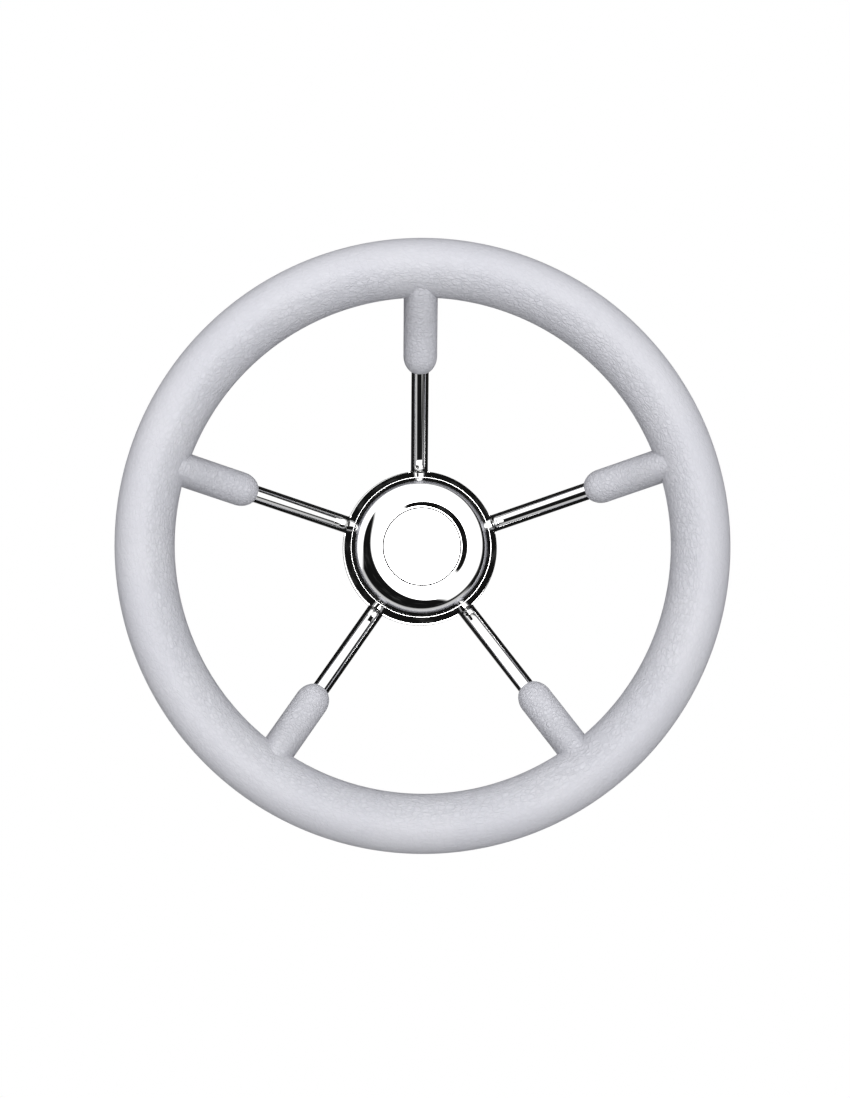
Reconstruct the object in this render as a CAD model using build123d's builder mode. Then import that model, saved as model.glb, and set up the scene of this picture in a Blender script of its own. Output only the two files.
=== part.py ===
from build123d import *
from build123d.topology import SkipClean
import os
from math import cos, radians, sin

# Ship steering wheel: a foam-covered rim on five polished rods, a turned hub bowl and a snap-in cap.
# The wheel's axis is Y and its front, the side the helmsman faces, looks along -Y; +Z is up.
# The origin is the centre of the boss's rear face, and "forward" is measured from there along -Y.

os.makedirs("parts", exist_ok=True)

# ---------------------------------------------------------------- driving dimensions (mm, degrees)
wheel_diameter = 350.0
grip_diameter = 34.0
rim_forward = 92.0  # centre plane of the rim
spoke_angles = [90.0, 18.0, 306.0, 234.0, 162.0]  # from +X towards +Z, clockwise from the top spoke

ring_bar_diameter = 12.0
ring_weld_leg = 2.5
seam_bead_radius = 1.2
seam_angle = 270.0

rod_diameter = 10.0
rod_hub_forward = 40.0  # where a rod's axis meets the hub's outer wall
rod_end_gap = 4.0  # from the ring bar's centre line back to the rod's square end
hub_weld_leg = 1.5

sleeve_diameter = 19.5
sleeve_full_radius = 109.5  # distance from the wheel's axis at which a sleeve reaches its full width
sleeve_nose_length = 12.2  # of the half ellipse that rounds a sleeve's end, measured to its tip inside the rod

hub_diameter = 90.0
hub_wall = 2.2
hub_floor = 2.0
hub_floor_forward = 30.0
hub_floor_corner = 5.0
hub_shoulder_forward = 47.0  # where the outer wall starts to taper in towards the lip
hub_shoulder_round = 2.5
hub_lip_forward = 54.0
hub_lip_radius = 41.1
hub_lip_round = 0.2
hub_register_radius = 40.6  # bore that the cap's rubber ring seals against
hub_register_back = 48.0
hub_undercut_back = 46.0
floor_hole_radius = 16.2

boss_neck_radius = 18.0
boss_neck_fillet = 3.0
boss_flange_radius = 36.0
boss_flange_thickness = 8.0
boss_spigot_radius = 16.0
boss_length = 34.0
boss_edge_chamfer = 0.6
taper_large_diameter = 19.05
taper_ratio = 12.0
keyway_width = 4.76
keyway_depth = 2.4

screw_circle_radius = 26.0
screw_start_angle = 54.0
screw_diameter = 6.0
screw_slack = 0.1
screw_length = 10.0
screw_head_diameter = 10.0
screw_head_height = 6.0
screw_socket_width = 5.0
screw_socket_depth = 3.0
screw_edge = 0.5
floor_screw_hole_diameter = 6.6
spring_washer_diameter = 11.0
spring_washer_thickness = 1.6
spring_washer_slit = 1.0

shaft_washer_diameter = 30.0
shaft_washer_hole = 16.7
shaft_washer_thickness = 2.4
nut_across_flats = 23.8
nut_thickness = 9.5
nut_thread_bore = 14.4
nut_corner_cut = 1.2

cap_sheet = 1.2
cap_radius = 39.9
cap_skirt_end = 42.0
cap_shoulder_start = 56.5
cap_crown_forward = 65.0
cap_flat_radius = 27.8
cap_recess_top_radius = 26.0
cap_recess_foot_radius = 23.6
cap_recess_depth = 1.0
cap_recess_top_bend = 3.0
cap_recess_foot_bend = 2.0

o_ring_section = 2.4
o_ring_forward = 52.6
o_ring_groove_depth = 2.0
o_ring_groove_bend = 0.75
o_ring_groove_slack = 0.1

disc_radius = 22.2
disc_thickness = 0.6
disc_edge = 0.15
tape_radius = 20.0
tape_thickness = 0.2

# ---------------------------------------------------------------- sizes worked out from those
ring_radius = (wheel_diameter - grip_diameter) / 2
grip_radius = grip_diameter / 2
rod_radius = rod_diameter / 2
sleeve_radius = sleeve_diameter / 2
hub_radius = hub_diameter / 2
rod_slope = (rim_forward - rod_hub_forward) / (ring_radius - hub_radius)
section = Plane(origin=(0, 0, 0), x_dir=(0, 0, 1), z_dir=(1, 0, 0))  # x is radius, y is forward


def on_wheel(angle, radius, forward):
    """A point at this angle round the wheel, distance from its axis and distance forward."""
    turn = radians(angle)
    return Vector(radius * cos(turn), -forward, radius * sin(turn))


def facing_front(forward):
    """A plane across the wheel's axis whose normal points forward, with x to +X and y to +Z."""
    return Plane(origin=(0, -forward, 0), x_dir=(1, 0, 0), z_dir=(0, -1, 0))


def along_rod(angle, radius):
    """A plane square to a rod's axis, at this distance from the wheel's axis, facing outwards."""
    here = on_wheel(angle, radius, rod_hub_forward + (radius - hub_radius) * rod_slope)
    rim_point = on_wheel(angle, ring_radius, rim_forward)
    hub_point = on_wheel(angle, hub_radius, rod_hub_forward)
    return Plane(origin=here, x_dir=on_wheel(angle + 90, 1, 0), z_dir=rim_point - hub_point)


def finish(piece, name):
    """Labels a finished piece and writes it."""
    piece.part.label = name
    export_step(piece.part, f"parts/{name}.step")


rod_planes = [along_rod(angle, hub_radius) for angle in spoke_angles]
rod_span = (on_wheel(0, ring_radius, rim_forward) - on_wheel(0, hub_radius, rod_hub_forward)).length
from_start = (Align.CENTER, Align.CENTER, Align.MIN)

# ---------------------------------------------------------------- steel ring inside the rim
with BuildPart() as rim_ring:
    with Locations((0, -rim_forward, 0)):
        Torus(ring_radius, ring_bar_diameter / 2, rotation=(90, 0, 0))
finish(rim_ring, "rim_ring")

# The raised bead of the butt weld that closes the ring.
with BuildPart() as ring_seam_weld:
    with Locations(Plane(origin=on_wheel(seam_angle, ring_radius, rim_forward), z_dir=(1, 0, 0))):
        Torus(ring_bar_diameter / 2, seam_bead_radius)
    add(rim_ring.part, mode=Mode.SUBTRACT)
finish(ring_seam_weld, "ring_seam_weld")

# ---------------------------------------------------------------- the five rods
# Each rod runs in a straight line from the hub's wall to the ring, rising forward on the way.
all_spokes = []
for number, (angle, rod_plane) in enumerate(zip(spoke_angles, rod_planes), start=1):
    with BuildPart() as spoke:
        with BuildSketch(rod_plane.offset(-rod_diameter)):
            Circle(rod_radius)
        extrude(amount=rod_diameter + rod_span - rod_end_gap)
        Cylinder(hub_radius, wheel_diameter, rotation=(90, 0, 0), mode=Mode.SUBTRACT)
        add(rim_ring.part, mode=Mode.SUBTRACT)
    finish(spoke, f"spoke_{number}")
    all_spokes.append(spoke)

# ---------------------------------------------------------------- welds at both ends of the rods
# Inside the foam a bead fills the corner within one leg's length of both the ring and the rod.
with BuildPart() as rim_weld_beads:
    for rod_plane in rod_planes:
        with Locations(rod_plane.offset(rod_span / 2)):
            Cylinder(rod_radius + ring_weld_leg, rod_span / 2 - rod_end_gap, align=from_start)
    with Locations((0, -rim_forward, 0)):
        Torus(ring_radius, ring_bar_diameter / 2 + ring_weld_leg, rotation=(90, 0, 0), mode=Mode.INTERSECT)
    add(rim_ring.part, mode=Mode.SUBTRACT)
    for spoke in all_spokes:
        add(spoke.part, mode=Mode.SUBTRACT)
finish(rim_weld_beads, "rim_weld_beads")

# At the hub a bead is the polished fillet between rod and wall, less the two pieces that it joins.
for number, rod_plane in enumerate(rod_planes, start=1):
    with BuildPart() as hub_weld_bead:
        with Locations((0, -rod_hub_forward, 0)):
            Cylinder(hub_radius, hub_radius, rotation=(90, 0, 0))
        with Locations(rod_plane.offset(-rod_diameter)):
            Cylinder(rod_radius, 2 * rod_diameter, align=from_start)
        joint_edges = hub_weld_bead.edges().filter_by(GeomType.CIRCLE, reverse=True)
        joint_edges = joint_edges.filter_by(GeomType.LINE, reverse=True)
        fillet(joint_edges, radius=hub_weld_leg)
        Cylinder(hub_radius, wheel_diameter, rotation=(90, 0, 0), mode=Mode.SUBTRACT)
        with Locations(rod_plane):
            Cylinder(rod_radius, wheel_diameter, mode=Mode.SUBTRACT)
    finish(hub_weld_bead, f"hub_weld_bead_{number}")

# ---------------------------------------------------------------- foam grip, moulded over ring and rods
with BuildPart() as rod_sleeves:
    for angle in spoke_angles:
        sleeve_start = along_rod(angle, sleeve_full_radius)
        sleeve_length = (on_wheel(angle, ring_radius, rim_forward) - sleeve_start.origin).length
        nose_plane = Plane(origin=sleeve_start.origin, x_dir=sleeve_start.z_dir, z_dir=sleeve_start.x_dir)
        with BuildSketch(nose_plane):
            Ellipse(sleeve_nose_length, sleeve_radius)
            Rectangle(sleeve_nose_length, wheel_diameter, align=(Align.MIN, Align.CENTER), mode=Mode.SUBTRACT)
            Rectangle(wheel_diameter, sleeve_radius, align=(Align.CENTER, Align.MAX), mode=Mode.SUBTRACT)
        revolve(axis=Axis(sleeve_start.origin, sleeve_start.z_dir))
        with Locations(sleeve_start):
            Cylinder(sleeve_radius, sleeve_length - rod_end_gap, align=from_start)

# The rim is made in one sector for each sleeve. Merging the sectors' faces into one closed ring
# would lose the sleeves, so this block leaves the faces as they are.
sector_angle = 360 / len(spoke_angles)
with SkipClean(), BuildPart() as rim_grip:
    for angle in spoke_angles:
        sector_start = angle - sector_angle / 2
        outwards = on_wheel(sector_start, 1, 0)
        with BuildSketch(Plane(origin=(0, 0, 0), x_dir=outwards, z_dir=outwards.cross(Vector(0, -1, 0)))):
            with Locations((ring_radius, rim_forward)):
                Circle(grip_radius)
        revolve(axis=Axis.Y, revolution_arc=-sector_angle)
    add(rod_sleeves.part)
    for buried in [rim_ring, ring_seam_weld, rim_weld_beads, *all_spokes]:
        add(buried.part, mode=Mode.SUBTRACT)
finish(rim_grip, "rim_grip")

# ---------------------------------------------------------------- turned hub bowl
wall_inside = hub_radius - hub_wall
inner_corner = hub_floor_corner - hub_floor
with BuildPart() as hub_dish:
    with BuildSketch(section):
        with BuildLine():
            FilletPolyline(
                (floor_hole_radius, hub_floor_forward),
                (hub_radius, hub_floor_forward),
                (hub_radius, hub_shoulder_forward),
                (hub_lip_radius, hub_lip_forward),
                (hub_register_radius, hub_lip_forward),
                (hub_register_radius, hub_register_back),
                (wall_inside, hub_undercut_back),
                (wall_inside, hub_floor_forward + hub_floor),
                (floor_hole_radius, hub_floor_forward + hub_floor),
                radius=[0, hub_floor_corner, hub_shoulder_round, hub_lip_round, 0, 0, 0, inner_corner, 0],
                close=True,
            )
        make_face()
    revolve(axis=Axis.Y)
    with BuildSketch(facing_front(hub_floor_forward)):
        with PolarLocations(screw_circle_radius, len(spoke_angles), screw_start_angle):
            Circle(floor_screw_hole_diameter / 2)
    extrude(amount=hub_floor, mode=Mode.SUBTRACT)
finish(hub_dish, "hub_dish")

# ---------------------------------------------------------------- boss for the tapered helm shaft
with BuildPart() as hub_boss:
    with BuildSketch(facing_front(0)):
        Circle(boss_neck_radius)
    extrude(amount=hub_floor_forward - boss_flange_thickness)
    with BuildSketch(facing_front(hub_floor_forward - boss_flange_thickness)):
        Circle(boss_flange_radius)
    extrude(amount=boss_flange_thickness)
    with BuildSketch(facing_front(hub_floor_forward)):
        Circle(boss_spigot_radius)
    extrude(amount=boss_length - hub_floor_forward)
    rims = hub_boss.edges().filter_by(GeomType.CIRCLE)
    neck_rims = rims.filter_by(lambda edge: abs(edge.radius - boss_neck_radius) < boss_edge_chamfer)
    flange_rims = rims.filter_by(lambda edge: abs(edge.radius - boss_flange_radius) < boss_edge_chamfer)
    fillet(neck_rims.group_by(Axis.Y)[0], radius=boss_neck_fillet)
    chamfer(flange_rims, length=boss_edge_chamfer)
    taper_small_diameter = taper_large_diameter - boss_length / taper_ratio
    with Locations((0, -boss_length / 2, 0)):
        Cone(
            taper_large_diameter / 2,
            taper_small_diameter / 2,
            boss_length,
            rotation=(90, 0, 0),
            mode=Mode.SUBTRACT,
        )
    with BuildSketch(facing_front(0)):
        with Locations((0, taper_large_diameter / 2)):
            Rectangle(keyway_width, 2 * keyway_depth)
    extrude(amount=boss_length, mode=Mode.SUBTRACT)
    with BuildSketch(facing_front(hub_floor_forward - boss_flange_thickness)):
        with PolarLocations(screw_circle_radius, len(spoke_angles), screw_start_angle):
            Circle(screw_diameter / 2)
    extrude(amount=boss_flange_thickness, mode=Mode.SUBTRACT)
finish(hub_boss, "hub_boss")

# ---------------------------------------------------------------- screws and spring washers
screw_seat = hub_floor_forward + hub_floor + spring_washer_thickness
with BuildPart() as spring_washers:
    with BuildSketch(facing_front(hub_floor_forward + hub_floor)):
        with PolarLocations(screw_circle_radius, len(spoke_angles), screw_start_angle):
            Circle(spring_washer_diameter / 2)
            Circle(screw_diameter / 2, mode=Mode.SUBTRACT)
        with PolarLocations(
            screw_circle_radius + spring_washer_diameter / 2, len(spoke_angles), screw_start_angle
        ):
            Rectangle(spring_washer_diameter, spring_washer_slit, mode=Mode.SUBTRACT)
    extrude(amount=spring_washer_thickness)
finish(spring_washers, "spring_washers")

with BuildPart() as boss_screws:
    with BuildSketch(facing_front(screw_seat)):
        with PolarLocations(screw_circle_radius, len(spoke_angles), screw_start_angle):
            Circle((screw_diameter - screw_slack) / 2)
    extrude(amount=-screw_length)
    with BuildSketch(facing_front(screw_seat)):
        with PolarLocations(screw_circle_radius, len(spoke_angles), screw_start_angle):
            Circle(screw_head_diameter / 2)
    extrude(amount=screw_head_height)
    head_tops = boss_screws.faces().filter_by(Axis.Y).sort_by(Axis.Y)[: len(spoke_angles)]
    chamfer(head_tops.edges(), length=screw_edge)
    with BuildSketch(facing_front(screw_seat + screw_head_height)):
        with PolarLocations(screw_circle_radius, len(spoke_angles), screw_start_angle):
            RegularPolygon(screw_socket_width / 2, 6, major_radius=False)
    extrude(amount=-screw_socket_depth, mode=Mode.SUBTRACT)
finish(boss_screws, "boss_screws")

# ---------------------------------------------------------------- shaft washer and nut
with BuildPart() as shaft_washer:
    with BuildSketch(facing_front(boss_length)):
        Circle(shaft_washer_diameter / 2)
        Circle(shaft_washer_hole / 2, mode=Mode.SUBTRACT)
    extrude(amount=shaft_washer_thickness)
finish(shaft_washer, "shaft_washer")

nut_seat = boss_length + shaft_washer_thickness
with BuildPart() as shaft_nut:
    with BuildSketch(facing_front(nut_seat)):
        RegularPolygon(nut_across_flats / 2, 6, major_radius=False)
    extrude(amount=nut_thickness)
    with BuildSketch(section):
        with BuildLine():
            Polyline(
                (0, nut_seat),
                (nut_across_flats / 2, nut_seat),
                (nut_across_flats / 2 + 2 * nut_corner_cut, nut_seat + nut_corner_cut),
                (nut_across_flats / 2 + 2 * nut_corner_cut, nut_seat + nut_thickness - nut_corner_cut),
                (nut_across_flats / 2, nut_seat + nut_thickness),
                (0, nut_seat + nut_thickness),
                close=True,
            )
        make_face()
    revolve(axis=Axis.Y, mode=Mode.INTERSECT)
    with BuildSketch(facing_front(nut_seat)):
        Circle(nut_thread_bore / 2)
    extrude(amount=nut_thickness, mode=Mode.SUBTRACT)
finish(shaft_nut, "shaft_nut")

# ---------------------------------------------------------------- cap, drawn as the middle of its sheet
half_sheet = cap_sheet / 2
skirt_middle = cap_radius - half_sheet
groove_middle = skirt_middle - o_ring_groove_depth
groove_half_width = o_ring_section / 2 + o_ring_groove_slack + half_sheet
crown_middle = cap_crown_forward - half_sheet
recess_middle = crown_middle - cap_recess_depth
with BuildPart() as hub_cap:
    with BuildSketch(section):
        with BuildLine():
            FilletPolyline(
                (skirt_middle, cap_skirt_end),
                (skirt_middle, o_ring_forward - groove_half_width),
                (groove_middle, o_ring_forward - groove_half_width),
                (groove_middle, o_ring_forward + groove_half_width),
                (skirt_middle, o_ring_forward + groove_half_width),
                (skirt_middle, cap_shoulder_start),
                radius=o_ring_groove_bend,
            )
            EllipticalCenterArc(
                (cap_flat_radius, cap_shoulder_start),
                skirt_middle - cap_flat_radius,
                crown_middle - cap_shoulder_start,
                arc_size=90,
            )
            FilletPolyline(
                (cap_flat_radius, crown_middle),
                (cap_recess_top_radius, crown_middle),
                (cap_recess_foot_radius, recess_middle),
                (0, recess_middle),
                radius=[cap_recess_top_bend, cap_recess_foot_bend],
            )
        trace(line_width=cap_sheet)
    revolve(axis=Axis.Y)
finish(hub_cap, "hub_cap")

with BuildPart() as cap_o_ring:
    with Locations((0, -o_ring_forward, 0)):
        Torus(cap_radius - o_ring_groove_depth + o_ring_section / 2, o_ring_section / 2, rotation=(90, 0, 0))
finish(cap_o_ring, "cap_o_ring")

recess_floor = recess_middle + half_sheet
with BuildPart() as disc_tape:
    with BuildSketch(facing_front(recess_floor)):
        Circle(tape_radius)
    extrude(amount=tape_thickness)
finish(disc_tape, "disc_tape")

with BuildPart() as cap_disc:
    with BuildSketch(facing_front(recess_floor + tape_thickness)):
        Circle(disc_radius)
    extrude(amount=disc_thickness)
    chamfer(cap_disc.faces().sort_by(Axis.Y)[0].edges(), length=disc_edge)
finish(cap_disc, "cap_disc")
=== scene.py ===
import math

import bmesh
import bpy
from mathutils import Matrix, Quaternion, Vector


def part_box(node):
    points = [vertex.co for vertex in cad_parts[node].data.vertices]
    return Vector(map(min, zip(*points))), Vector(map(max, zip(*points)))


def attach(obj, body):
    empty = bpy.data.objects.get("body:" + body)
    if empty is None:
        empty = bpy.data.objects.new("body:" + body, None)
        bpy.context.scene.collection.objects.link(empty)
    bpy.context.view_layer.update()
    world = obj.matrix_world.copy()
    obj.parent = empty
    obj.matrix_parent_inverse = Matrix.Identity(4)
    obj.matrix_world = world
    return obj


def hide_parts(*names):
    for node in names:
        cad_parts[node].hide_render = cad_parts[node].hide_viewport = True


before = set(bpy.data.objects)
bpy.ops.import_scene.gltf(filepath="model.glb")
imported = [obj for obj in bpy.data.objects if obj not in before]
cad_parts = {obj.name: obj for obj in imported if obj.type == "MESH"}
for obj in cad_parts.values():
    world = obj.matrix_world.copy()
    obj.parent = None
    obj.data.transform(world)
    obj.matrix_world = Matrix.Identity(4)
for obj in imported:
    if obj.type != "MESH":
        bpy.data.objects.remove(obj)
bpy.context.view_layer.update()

# Ship steering wheel: the visible pieces and their finishes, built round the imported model.
# Lengths are metres. The wheel's axis is Y and its front looks along -Y; "forward" is measured
# along -Y from the boss's rear face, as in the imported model.

MM = 0.001

# ---------------------------------------------------------------- sizes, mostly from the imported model
wheel_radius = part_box("rim_grip")[1].x
rim_front = -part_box("rim_grip")[0].y
ring_bar_low, ring_bar_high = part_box("rim_ring")
rim_forward = -(ring_bar_low.y + ring_bar_high.y) / 2
ring_bar_radius = (ring_bar_high.y - ring_bar_low.y) / 2
grip_radius = rim_front - rim_forward
ring_radius = wheel_radius - grip_radius
spoke_angles = {"spoke_1": 90, "spoke_2": 18, "spoke_3": 306, "spoke_4": 234, "spoke_5": 162}
rod_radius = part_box("spoke_1")[1].x
hub_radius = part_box("hub_dish")[1].z
hub_back = -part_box("hub_dish")[1].y
hub_lip = -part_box("hub_dish")[0].y
rod_hub_forward = 40 * MM
rod_slope = math.atan2(rim_forward - rod_hub_forward, ring_radius - hub_radius)

sleeve_radius = 9.75 * MM
sleeve_full_from = 110.0 * MM
sleeve_nose_length = 11.2 * MM
sleeve_mouth_radius = 5.35 * MM
sleeve_mouth_rounding = 0.25 * MM
sleeve_nose_steps = 14
sleeve_rings = 24
sleeve_rise = 6 * MM
sleeve_rise_from = 116 * MM
sleeve_rise_to = 145 * MM

cap_low, cap_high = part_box("hub_cap")
cap_radius = cap_high.x
cap_crown = -cap_low.y
cap_skirt_end = -cap_high.y
disc_low, disc_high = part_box("cap_disc")


def on_wheel(angle, radius, forward):
    """A point at this angle round the wheel, distance from its axis and distance forward."""
    turn = math.radians(angle)
    return Vector((radius * math.cos(turn), -forward, radius * math.sin(turn)))


def rod_direction(angle):
    """The way a rod runs, out from the hub and rising forward."""
    return on_wheel(angle, math.cos(rod_slope), math.sin(rod_slope))


def rod_point(angle, radius):
    """The point of a rod's axis at this distance from the wheel's axis."""
    forward = rod_hub_forward + (radius - hub_radius) * math.tan(rod_slope)
    return on_wheel(angle, radius, forward)


# ---------------------------------------------------------------- making meshes
arc_step_degrees = 9
least_arc_steps = 3
same_point = 1e-6


def turned(outline, steps, closed=True):
    """A solid of revolution about Y from an outline of (radius, forward, corner rounding) points.
    A closed outline makes a ring; an open one starts and ends on the axis."""
    bm = bmesh.new()
    corners = [bm.verts.new((radius, -forward, 0)) for radius, forward, _ in outline]
    ends = corners[1:] + corners[:1] if closed else corners[1:]
    for here, there in zip(corners, ends):
        bm.edges.new((here, there))
    for corner, (_, _, rounding) in zip(corners, outline):
        if not rounding:
            continue
        before, after = [edge.other_vert(corner).co - corner.co for edge in corner.link_edges]
        turn = math.pi - before.angle(after)
        bmesh.ops.bevel(
            bm,
            geom=[corner],
            offset=rounding * math.tan(turn / 2),
            offset_type="OFFSET",
            segments=max(least_arc_steps, round(math.degrees(turn) / arc_step_degrees)),
            profile=0.5,
            affect="VERTICES",
            material=-1,
        )
    bmesh.ops.spin(
        bm,
        geom=bm.verts[:] + bm.edges[:],
        cent=(0, 0, 0),
        axis=(0, 1, 0),
        angle=2 * math.pi,
        steps=steps,
        use_merge=True,
        use_duplicate=False,
    )
    bmesh.ops.remove_doubles(bm, verts=bm.verts, dist=same_point)
    bmesh.ops.recalc_face_normals(bm, faces=bm.faces)
    return bm


def stand(bm, place, direction):
    """Moves a turned shape: its origin to this place, its forward way along direction."""
    turn = Vector((0, -1, 0)).rotation_difference(direction)
    bmesh.ops.transform(bm, matrix=Matrix.Translation(place) @ turn.to_matrix().to_4x4(), verts=bm.verts)
    return bm


def as_object(name, bm, sharp_degrees=35):
    """A mesh object, smooth except at edges sharper than this."""
    mesh = bpy.data.meshes.new(name)
    bm.to_mesh(mesh)
    bm.free()
    mesh.shade_smooth()
    mesh.set_sharp_from_angle(angle=math.radians(sharp_degrees))
    thing = bpy.data.objects.new(name, mesh)
    bpy.context.scene.collection.objects.link(thing)
    return thing


def place_piece(thing, material, slot, body, *stands_for):
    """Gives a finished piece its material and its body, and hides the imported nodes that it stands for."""
    thing.data.materials.clear()
    thing.data.materials.append(material)
    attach(thing, body)
    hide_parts(*stands_for)
    return thing


# ---------------------------------------------------------------- making materials
class Wire:
    """A shader value that Python operators work on: each one adds its Math node."""

    def __init__(self, graph, socket):
        self.graph = graph
        self.socket = socket

    def math(self, operation, *others):
        return self.graph.add("ShaderNodeMath", {"operation": operation}, dict(enumerate((self, *others))))

    def __add__(self, other):
        return self.math("ADD", other)

    __radd__ = __add__

    def __mul__(self, other):
        return self.math("MULTIPLY", other)

    __rmul__ = __mul__

    def __sub__(self, other):
        return self.math("SUBTRACT", other)

    def __rsub__(self, other):
        return self.graph.add("ShaderNodeMath", {"operation": "SUBTRACT"}, {0: other, 1: self})

    def __truediv__(self, other):
        return self.math("DIVIDE", other)


class Graph:
    """A node tree that is filled by add()."""

    def __init__(self, tree):
        self.tree = tree
        tree.nodes.clear()

    def add(self, kind, settings, sockets, output=0):
        """A node of this kind: its settings or ramp stops first, then its sockets' values or links."""
        node = self.tree.nodes.new(kind)
        for name, value in settings.items():
            if name == "stops":
                ramp = node.color_ramp.elements
                while len(ramp) < len(value):
                    ramp.new(0.5)
                for element, (position, colour) in zip(ramp, value):
                    element.position = position
                    element.color = colour
            else:
                setattr(node, name, value)
        for name, value in sockets.items():
            if isinstance(value, Wire):
                self.tree.links.new(value.socket, node.inputs[name])
            else:
                node.inputs[name].default_value = value
        return Wire(self, node.outputs[output]) if node.outputs else None

    def ramp(self, low, high, value):
        """0 below low, 1 above high and a smooth step between."""
        return self.add(
            "ShaderNodeMapRange",
            {"interpolation_type": "SMOOTHSTEP"},
            {"Value": value, "From Min": low, "From Max": high},
        )

    def mix(self, factor, one, other):
        """A colour between one and other."""
        node = self.tree.nodes.new("ShaderNodeMix")
        node.data_type = "RGBA"
        for index, value in ((0, factor), (6, one), (7, other)):
            if isinstance(value, Wire):
                self.tree.links.new(value.socket, node.inputs[index])
            else:
                node.inputs[index].default_value = value
        return Wire(self, node.outputs[2])

    def noise(self, place, scale, detail=3.0, roughness=0.55, w=None):
        """Fractal noise around 0.5; with w it is four-dimensional."""
        sockets = {"Vector": place, "Scale": scale, "Detail": detail, "Roughness": roughness}
        if w is not None:
            sockets["W"] = w
        return self.add("ShaderNodeTexNoise", {"noise_dimensions": "3D" if w is None else "4D"}, sockets)


def new_material(name):
    """An empty material and the graph that fills it."""
    material = bpy.data.materials.new(name)
    material.use_nodes = True
    return material, Graph(material.node_tree)


def finish_material(graph, sockets):
    """Ends a graph in one Principled shader."""
    shader = graph.add("ShaderNodeBsdfPrincipled", {}, sockets)
    graph.add("ShaderNodeOutputMaterial", {}, {"Surface": shader})


def object_place(graph):
    """Object coordinates, whole and as x, y and z."""
    place = graph.add("ShaderNodeTexCoord", {}, {}, output="Object")
    parts = [graph.add("ShaderNodeSeparateXYZ", {}, {"Vector": place}, output=axis) for axis in "XYZ"]
    return place, parts


def foam_material():
    """White self-skinning foam: a fine leather grain along the rim, with painted shade darkening its
    creases.
    """
    material, graph = new_material("white_foam_skin")
    place, (x, y, z) = object_place(graph)
    from_axis = (x * x + z * z).math("SQRT")
    # Distances round the wheel are squeezed, which draws the grain out along the rim.
    squeeze = 0.55
    round_x = x / from_axis * (ring_radius * squeeze)
    round_z = z / from_axis * (ring_radius * squeeze)
    off_middle = from_axis - ring_radius
    rim_place = graph.add("ShaderNodeCombineXYZ", {}, {"X": round_x, "Y": round_z, "Z": off_middle})
    sway = graph.noise(rim_place, 160, 2.0, w=y)
    swayed = graph.add(
        "ShaderNodeVectorMath",
        {"operation": "SCALE"},
        {"Vector": (1.1, 0.7, -0.9), "Scale": (sway - 0.5) * 0.0035},
    )
    grain_place = graph.add("ShaderNodeVectorMath", {"operation": "ADD"}, {0: rim_place, 1: swayed})
    cells = graph.add(
        "ShaderNodeTexVoronoi",
        {"voronoi_dimensions": "4D", "feature": "DISTANCE_TO_EDGE"},
        {"Vector": grain_place, "W": y, "Scale": 470},
    )
    creases = 1 - graph.ramp(0.0, 0.16, cells)
    wrinkle = graph.noise(grain_place, 380, 5.0, 0.62, w=y)
    folds = 1 - graph.ramp(0.0, 0.10, (wrinkle - 0.5).math("ABSOLUTE"))
    pores = graph.noise(place, 2600, 2.0, 0.5)
    # The skin is pulled smooth over the front and the outside, and creases on the inside of the curve.
    grain_depth = 1 - graph.ramp(ring_radius - 0.008, ring_radius + 0.003, from_axis) * 0.6
    height = (wrinkle * 0.9 - creases * 0.55 - folds * 0.35 + pores * 0.25) * grain_depth
    broad = graph.noise(place, 22, 3.0)
    bump = graph.add("ShaderNodeBump", {}, {"Strength": 0.75, "Distance": 0.0005, "Height": height})
    white = graph.mix(graph.ramp(0.35, 0.7, broad), (0.610, 0.612, 0.660, 1), (0.635, 0.636, 0.680, 1))
    # Painted shade: the grain's creases and folds are darkened in the base colour, most on the inside of
    # the rim where the grain is deepest.
    colour = graph.mix((creases * 0.22 + folds * 0.14) * grain_depth, white, (0.40, 0.41, 0.45, 1))
    finish_material(
        graph,
        {
            "Base Color": colour,
            "Roughness": 0.5 + broad * 0.12 - creases * 0.06,
            "IOR": 1.45,
            "Specular IOR Level": 0.25,
            "Normal": bump,
        },
    )
    return material


def polished_material(name, colour, roughness, wave_height):
    """Mirror-polished stainless steel: very slight waves, hazy patches and fine buffing lines."""
    material, graph = new_material(name)
    place, _ = object_place(graph)
    waves = graph.noise(place, 70, 2.0)
    buffing = graph.noise(place, 900, 3.0, 0.6)
    haze = graph.noise(place, 45, 4.0, 0.6)
    specks = graph.ramp(0.70, 0.78, graph.noise(place, 1500, 1.0))
    bump = graph.add(
        "ShaderNodeBump", {}, {"Strength": 1.0, "Distance": wave_height, "Height": waves + buffing * 0.012}
    )
    tone = graph.mix(graph.ramp(0.3, 0.75, haze), colour, tuple(c * 0.93 for c in colour[:3]) + (1,))
    finish_material(
        graph,
        {
            "Base Color": tone,
            "Metallic": 1.0,
            "Roughness": roughness + graph.ramp(0.45, 0.8, haze) * 0.035 + specks * 0.05,
            "Normal": bump,
        },
    )
    return material


def machined_material(name, colour, roughness, pitch):
    """Turned metal: fine concentric tool marks about the wheel's axis."""
    material, graph = new_material(name)
    place, (x, y, z) = object_place(graph)
    from_axis = (x * x + z * z).math("SQRT")
    uneven = graph.noise(place, 90, 3.0)
    marks = ((from_axis + y * 0.7 + uneven * 0.0004) * (2 * math.pi / pitch)).math("SINE")
    stain = graph.noise(place, 60, 4.0)
    bump = graph.add("ShaderNodeBump", {}, {"Strength": 0.5, "Distance": 0.00004, "Height": marks})
    tone = graph.mix(graph.ramp(0.35, 0.75, stain), colour, tuple(c * 0.8 for c in colour[:3]) + (1,))
    finish_material(
        graph,
        {
            "Base Color": tone,
            "Metallic": 1.0,
            "Roughness": roughness + marks * 0.03 + stain * 0.12,
            "Normal": bump,
        },
    )
    return material


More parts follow.
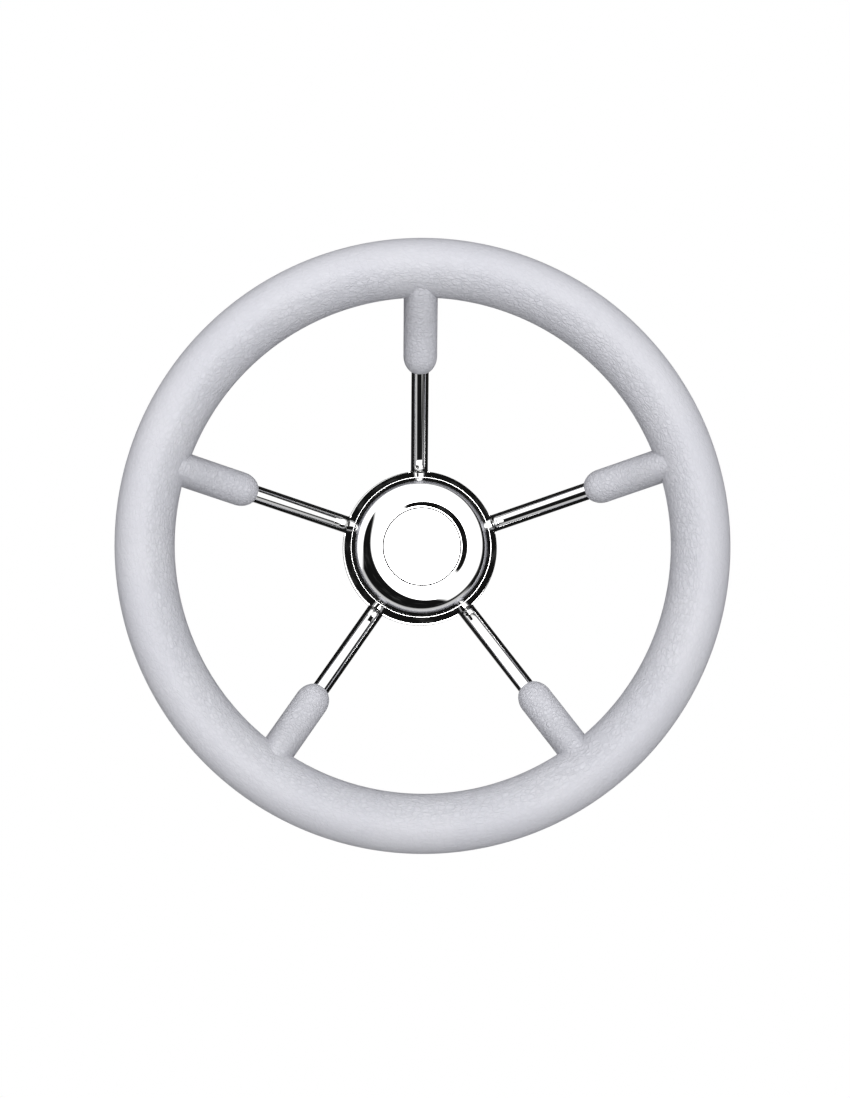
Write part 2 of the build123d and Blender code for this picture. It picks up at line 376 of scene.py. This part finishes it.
def rubber_material():
    """Black rubber with a dull bloom."""
    material, graph = new_material("black_rubber")
    place, _ = object_place(graph)
    bloom = graph.noise(place, 300, 4.0)
    bump = graph.add("ShaderNodeBump", {}, {"Strength": 0.4, "Distance": 0.0001, "Height": bloom})
    colour = graph.mix(bloom, (0.012, 0.012, 0.013, 1), (0.035, 0.035, 0.036, 1))
    finish_material(graph, {"Base Color": colour, "Roughness": 0.45 + bloom * 0.3, "Normal": bump})
    return material


foam = foam_material()
hub_polish = polished_material("hub_polish", (0.93, 0.93, 0.925, 1), 0.02, 0.000004)
cap_polish = polished_material("cap_polish", (0.96, 0.96, 0.955, 1), 0.02, 0.000003)
rod_polish = polished_material("rod_polish", (0.90, 0.90, 0.895, 1), 0.03, 0.000005)
weld_polish = polished_material("weld_polish", (0.86, 0.86, 0.85, 1), 0.09, 0.00008)
mill_steel = machined_material("mill_steel", (0.45, 0.45, 0.45, 1), 0.35, 0.0004)
boss_metal = machined_material("turned_aluminium", (0.72, 0.72, 0.73, 1), 0.28, 0.0005)
fastener_steel = machined_material("fastener_steel", (0.56, 0.56, 0.56, 1), 0.25, 0.0003)
rubber = rubber_material()

# ---------------------------------------------------------------- rim and sleeves: one foam moulding
rim_profile_steps = 96
rim_steps = 360
sleeve_steps = 72


def rim_ring_mesh():
    """The rim, a plain round ring of foam."""
    bm = bmesh.new()
    bmesh.ops.create_circle(bm, segments=rim_profile_steps, radius=grip_radius)
    bmesh.ops.translate(bm, vec=(ring_radius, -rim_forward, 0), verts=bm.verts)
    bmesh.ops.spin(
        bm,
        geom=bm.verts[:] + bm.edges[:],
        cent=(0, 0, 0),
        axis=(0, 1, 0),
        angle=2 * math.pi,
        steps=rim_steps,
        use_merge=True,
        use_duplicate=False,
    )
    bmesh.ops.remove_doubles(bm, verts=bm.verts, dist=same_point)
    bmesh.ops.recalc_face_normals(bm, faces=bm.faces)
    return bm


def sleeve_mesh(angle):
    """A sleeve: straight sides, a half-ellipse nose, and a front that rises to meet the rim's face."""
    mouth_turn = math.acos(sleeve_mouth_radius / sleeve_radius)
    outline = [(0, -sleeve_nose_length * math.sin(mouth_turn), 0)]
    for step in range(sleeve_nose_steps):
        turn = mouth_turn * (1 - step / sleeve_nose_steps)
        rounding = sleeve_mouth_rounding if step == 0 else 0
        outline.append((sleeve_radius * math.cos(turn), -sleeve_nose_length * math.sin(turn), rounding))
    length = (rod_point(angle, ring_radius) - rod_point(angle, sleeve_full_from)).length - ring_bar_radius
    outline += [(sleeve_radius, length * step / sleeve_rings, 0) for step in range(sleeve_rings + 1)]
    outline.append((0, length, 0))
    straight_sleeve = turned(outline, sleeve_steps, closed=False)
    bm = stand(straight_sleeve, rod_point(angle, sleeve_full_from), rod_direction(angle))
    for vertex in bm.verts:
        radius = math.hypot(vertex.co.x, vertex.co.z)
        ahead_of_rod = -vertex.co.y + rod_point(angle, radius).y
        share = min(1, max(0, (radius - sleeve_rise_from) / (sleeve_rise_to - sleeve_rise_from)))
        eased = share * share * (3 - 2 * share)
        vertex.co.y -= sleeve_rise * eased * min(1, max(0, ahead_of_rod / sleeve_radius))
    return bm


grip = as_object("foam_grip", rim_ring_mesh())
for angle in spoke_angles.values():
    sleeve = as_object("sleeve", sleeve_mesh(angle))
    joining = grip.modifiers.new("join_sleeve", "BOOLEAN")
    joining.operation = "UNION"
    joining.solver = "EXACT"
    joining.object = sleeve
    joined = bpy.data.meshes.new_from_object(grip.evaluated_get(bpy.context.evaluated_depsgraph_get()))
    grip.modifiers.clear()
    grip.data = joined
    bpy.data.objects.remove(sleeve)
grip.data.shade_smooth()
grip.data.set_sharp_from_angle(angle=math.radians(30))
place_piece(grip, foam, "grip_foam", "wheel", "rim_grip")

# ---------------------------------------------------------------- rods
rod_steps = 96
rod_starts_inside_hub = 3 * MM
rod_ends_inside_sleeve = 20 * MM
rod_end_rounding = 0.5 * MM

for name, angle in spoke_angles.items():
    start = rod_point(angle, hub_radius - rod_starts_inside_hub)
    end = rod_point(angle, sleeve_full_from + rod_ends_inside_sleeve)
    length = (end - start).length
    outline = [(0, 0, 0), (rod_radius, 0, 0), (rod_radius, length, rod_end_rounding), (0, length, 0)]
    rod_mesh = stand(turned(outline, rod_steps, closed=False), start, rod_direction(angle))
    rod = as_object(name.replace("spoke", "rod"), rod_mesh)
    place_piece(rod, rod_polish, "rod_steel", "wheel", name)

# ---------------------------------------------------------------- hub bowl
hub_steps = 256
boss_hole_radius = 16.2 * MM
floor_thickness = 2 * MM
back_corner_radius = 5 * MM
foot_radius = hub_radius + 0.45 * MM
foot_front = 36.5 * MM
wall_radius = hub_radius - 0.4 * MM
wall_front = 47 * MM
wall_inside_radius = 42.8 * MM
lip_outside_radius = 40.9 * MM
lip_inside_radius = 40.6 * MM
lip_depth = 6 * MM
lip_taper_depth = 8 * MM

bowl_outline = [
    (boss_hole_radius, hub_back, 0),
    (foot_radius, hub_back, back_corner_radius),
    (foot_radius, foot_front, 0.5 * MM),
    (wall_radius, foot_front, 0.05 * MM),
    (wall_radius, wall_front, 2.5 * MM),
    (lip_outside_radius, hub_lip, 0.2 * MM),
    (lip_inside_radius, hub_lip, 0.12 * MM),
    (lip_inside_radius, hub_lip - lip_depth, 0),
    (wall_inside_radius, hub_lip - lip_taper_depth, 0),
    (wall_inside_radius, hub_back + floor_thickness, 3 * MM),
    (boss_hole_radius, hub_back + floor_thickness, 0),
]
bowl = as_object("hub_bowl", turned(bowl_outline, hub_steps))
place_piece(bowl, hub_polish, "hub_steel", "wheel", "hub_dish")

# ---------------------------------------------------------------- cap and its centre disc
sheet = 1.2 * MM
shoulder_across = 14.5 * MM
shoulder_drop = 11.8 * MM
flat_radius = 27.8 * MM
groove_floor = cap_radius - 2.0 * MM
groove_low = 51.3 * MM
groove_high = 53.9 * MM
recess_top = 26.0 * MM
recess_foot = 23.6 * MM
recess_floor = cap_crown - 1.0 * MM


def shoulder(depth, steps=28):
    """Points of the cap's elliptical shoulder, this deep in the sheet, from the flat out to the skirt."""
    across, drop = shoulder_across - depth, shoulder_drop - depth
    last_turn = math.asin((cap_radius - depth - flat_radius) / across)
    turns = [last_turn * step / steps for step in range(steps + 1)]
    middle = cap_crown - shoulder_drop
    points = [(flat_radius + across * math.sin(turn), middle + drop * math.cos(turn), 0) for turn in turns]
    points[-1] = points[-1][:2] + (0.35 * MM,)
    return points


outside = [(0, recess_floor, 0), (recess_foot, recess_floor, 1.4 * MM), (recess_top, cap_crown, 3.6 * MM)]
outside += shoulder(0)
outside += [
    (cap_radius, groove_high, 0.3 * MM),
    (groove_floor, groove_high, 0.2 * MM),
    (groove_floor, groove_low, 0.2 * MM),
    (cap_radius, groove_low, 0.3 * MM),
    (cap_radius, cap_skirt_end, 0.2 * MM),
]
inside = [
    (cap_radius - sheet, cap_skirt_end, 0.2 * MM),
    (cap_radius - sheet, groove_low - sheet, 0.3 * MM),
    (groove_floor - sheet, groove_low - sheet, 0.3 * MM),
    (groove_floor - sheet, groove_high + sheet, 0.3 * MM),
    (cap_radius - sheet, groove_high + sheet, 0.3 * MM),
]
inside += shoulder(sheet)[::-1]
inside += [
    (recess_top, cap_crown - sheet, 2.4 * MM),
    (recess_foot, recess_floor - sheet, 2.6 * MM),
    (0, recess_floor - sheet, 0),
]
cap = as_object("polished_cap", turned(outside + inside, hub_steps, closed=False))
place_piece(cap, cap_polish, "cap_steel", "cap", "hub_cap")

disc_steps = 192
disc_outline = [
    (0, -disc_low.y, 0),
    (disc_high.x, -disc_low.y, 0.3 * MM),
    (disc_high.x, -disc_high.y, 0),
    (0, -disc_high.y, 0),
]
disc = as_object("centre_disc", turned(disc_outline, disc_steps, closed=False))
place_piece(disc, cap_polish, "disc_steel", "cap", "cap_disc")

# The black tape reaches a little past the disc's edge, where it shows as a thin dark line: painted shadow
# for the shade in the gap round the disc.
tape_low, tape_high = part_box("disc_tape")
tape_and_painted_shadow_radius = disc_high.x + 0.8 * MM
tape_outline = [
    (0, -tape_low.y, 0),
    (tape_and_painted_shadow_radius, -tape_low.y, 0.05 * MM),
    (tape_and_painted_shadow_radius, -tape_high.y, 0.05 * MM),
    (0, -tape_high.y, 0),
]
tape = as_object("disc_tape_and_painted_gap_shadow", turned(tape_outline, disc_steps, closed=False))
place_piece(tape, rubber, "tape_foam", "cap", "disc_tape")

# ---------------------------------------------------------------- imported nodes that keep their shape
kept_nodes = {
    "rim_ring": mill_steel,
    "ring_seam_weld": mill_steel,
    "rim_weld_beads": mill_steel,
    "hub_boss": boss_metal,
    "boss_screws": fastener_steel,
    "spring_washers": fastener_steel,
    "shaft_washer": fastener_steel,
    "shaft_nut": fastener_steel,
    "cap_o_ring": rubber,
}
weld_nodes = sorted(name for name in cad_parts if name.startswith("hub_weld_bead"))
kept_nodes.update({name: weld_polish for name in weld_nodes})
for name, material in kept_nodes.items():
    for material_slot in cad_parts[name].material_slots:
        material_slot.material = material

# ---------------------------------------------------------------- studio
floor_drop = 1.2
floor_half_width = 8
floor_half_depth = 6
floor_middle = (0, -2, -floor_drop)
floor_mesh = bmesh.new()
bmesh.ops.create_grid(floor_mesh, x_segments=1, y_segments=1, size=1)
bmesh.ops.scale(floor_mesh, vec=(floor_half_width, floor_half_depth, 1), verts=floor_mesh.verts)
bmesh.ops.translate(floor_mesh, vec=floor_middle, verts=floor_mesh.verts)
floor = as_object("studio_floor", floor_mesh)
floor_material, floor_graph = new_material("pale_floor")
floor_place, _ = object_place(floor_graph)
floor_patches = floor_graph.noise(floor_place, 1.5)
floor_tone = floor_graph.mix(floor_patches, (0.84, 0.84, 0.84, 1), (0.88, 0.88, 0.88, 1))
finish_material(floor_graph, {"Base Color": floor_tone, "Roughness": 0.7})
floor.data.materials.append(floor_material)
floor.visible_glossy = False

# The studio's soft lights. Each stands at an angle round the wheel (from +X towards +Z), and some at an
# angle off the wheel's front too. A panel's edges are cosines: how far a direction leans that way.
surroundings_dark = 0.007
surroundings_streaks = 0.05
main_panel = {"round": 38, "near_edge": (-0.15, -0.08), "brightness": 1.3}
main_panel_back = {"round": 100, "off_front": 10, "edge": (0.50, 0.60)}
main_panel_low_end = {"round": 320, "edge": (0.74, 0.80)}
left_panel = {"round": 148, "sides": (0.50, 0.62), "front_edge": (0.74, 0.78), "brightness": 1.5}
low_panel = {"round": 255, "sides": (0.28, 0.50), "front_edge": (0.50, 0.58), "brightness": 0.58}
side_panel_back = (0.10, 0.22)
front_lamp = {"round": 335, "off_front": 13, "full": 12, "gone": 18, "brightness": 9.8}
rear_strip = {"round": 235, "off_front": 165, "full": 12, "gone": 20, "brightness": 0.8}


def studio_world():
    """Pure white behind everything for the camera; soft panels in the dark for reflections and light."""
    world = bpy.data.worlds.new("studio")
    bpy.context.scene.world = world
    world.use_nodes = True
    graph = Graph(world.node_tree)
    way = graph.add("ShaderNodeTexCoord", {}, {}, output="Generated")

    def along(vector):
        return graph.add(
            "ShaderNodeVectorMath", {"operation": "DOT_PRODUCT"}, {0: way, 1: tuple(vector)}, output="Value"
        )

    def turned_from_front(round_angle, off_front):
        off = math.radians(off_front)
        return on_wheel(round_angle, math.sin(off), math.cos(off))

    def towards(panel):
        return along(turned_from_front(panel["round"], 90))

    def round_lamp(lamp):
        facing = along(turned_from_front(lamp["round"], lamp["off_front"]))
        edge = [math.cos(math.radians(lamp[side])) for side in ("gone", "full")]
        return graph.ramp(*edge, facing) * lamp["brightness"]

    def side_panel(panel):
        across = graph.ramp(*panel["sides"], towards(panel))
        depth = graph.ramp(*side_panel_back, front) * (1 - graph.ramp(*panel["front_edge"], front))
        return across * depth * panel["brightness"]

    front = along((0, -1, 0))
    back = along(turned_from_front(main_panel_back["round"], main_panel_back["off_front"]))
    main_light = graph.ramp(*main_panel["near_edge"], towards(main_panel))
    main_light = main_light * graph.ramp(*main_panel_back["edge"], back)
    main_light = main_light * (1 - graph.ramp(*main_panel_low_end["edge"], towards(main_panel_low_end)))
    panels = main_light * main_panel["brightness"]
    panels = panels.math("MAXIMUM", side_panel(left_panel)).math("MAXIMUM", side_panel(low_panel))
    streaks = graph.ramp(0.5, 0.8, graph.noise(way, 5, 4.0)) * surroundings_streaks
    light = panels + round_lamp(front_lamp) + round_lamp(rear_strip) + streaks + surroundings_dark
    seen = graph.add("ShaderNodeLightPath", {}, {}, output="Is Camera Ray")
    surround = graph.add("ShaderNodeBackground", {}, {"Color": (1, 1, 1, 1), "Strength": light})
    backdrop = graph.add("ShaderNodeBackground", {}, {"Color": (1, 1, 1, 1), "Strength": 1.0})
    shown = graph.add("ShaderNodeMixShader", {}, {0: seen, 1: surround, 2: backdrop})
    graph.add("ShaderNodeOutputWorld", {}, {"Surface": shown})


studio_world()
bpy.context.scene.view_settings.view_transform = "Standard"

# ---------------------------------------------------------------- camera
camera_distance = 1.5
camera_left = math.radians(2.45)
camera_low = math.radians(2.05)
camera_roll = math.radians(-0.6)
aim_right = 0.62 * MM
aim_down = 2.39 * MM

camera_data = bpy.data.cameras.new("camera")
camera = bpy.data.objects.new("camera", camera_data)
bpy.context.scene.collection.objects.link(camera)
camera_data.lens = 86.71
camera_data.sensor_width = 36
rim_middle = Vector((0, -rim_forward, 0))
camera.location = rim_middle + camera_distance * Vector((-math.tan(camera_left), -1, -math.tan(camera_low)))
aim = rim_middle + Vector((aim_right, 0, -aim_down))
facing = (aim - camera.location).to_track_quat("-Z", "Y")
camera.rotation_mode = "QUATERNION"
camera.rotation_quaternion = facing @ Quaternion((0, 0, 1), camera_roll)
bpy.context.scene.camera = camera
